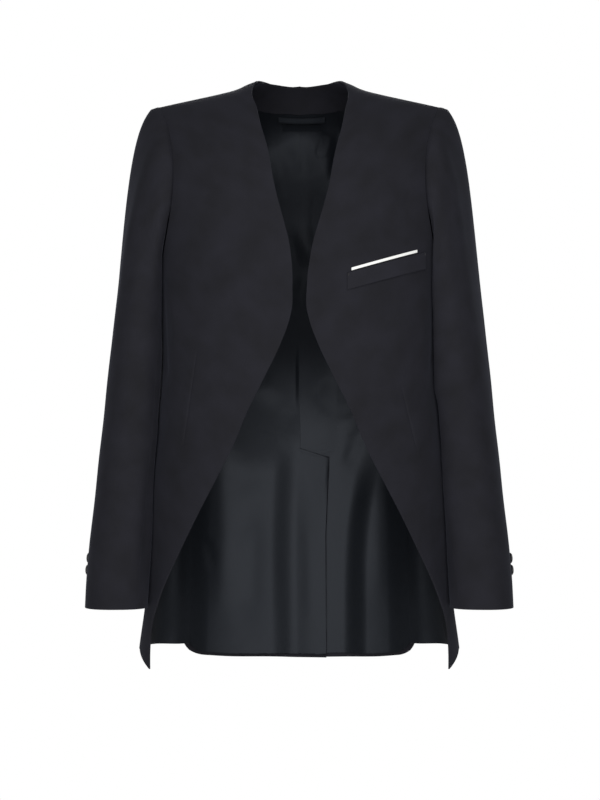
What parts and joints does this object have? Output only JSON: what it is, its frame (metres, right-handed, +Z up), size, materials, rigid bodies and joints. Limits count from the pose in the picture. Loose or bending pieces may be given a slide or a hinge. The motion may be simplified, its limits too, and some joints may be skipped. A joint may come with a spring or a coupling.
{
  "type": "collarless blazer",
  "caption": "Hip-length collarless blazer, filled out and empty inside, with a deep V neck, fronts cut away below the waist, long sleeves and a satin back lining.",
  "frame": {"origin": "middle of the neck opening, level with the points where the shoulder seams meet the neck, in the plane of the shoulder seams", "axes": "+Z up along the wearer's spine, the front faces -Y, and the wearer's left is +X"},
  "size_m": [0.5394, 0.2343, 0.747],
  "materials": {
    "wool_cloth": "matte fine wool twill, near black",
    "lining_satin": "smooth black satin",
    "pale_satin": "off-white satin edge",
    "dark_button": "near black, dull"
  },
  "bodies": {
    "root": {"front_left": "wool_cloth", "side_left": "wool_cloth", "back_left": "wool_cloth", "sleeve_top_left": "wool_cloth", "sleeve_under_left": "wool_cloth", "lining_back_left": "lining_satin", "lining_side_left": "lining_satin", "cuff_button_left_1": "dark_button", "cuff_button_left_2": "dark_button", "front_right": "wool_cloth", "side_right": "wool_cloth", "back_right": "wool_cloth", "sleeve_top_right": "wool_cloth", "sleeve_under_right": "wool_cloth", "lining_back_right": "lining_satin", "lining_side_right": "lining_satin", "cuff_button_right_1": "dark_button", "cuff_button_right_2": "dark_button", "back_neck_facing": "wool_cloth", "pocket_welt": "wool_cloth", "pocket_strip": "pale_satin", "label": "lining_satin", "hanger_loop": "lining_satin"}
  },
  "joints": []
}
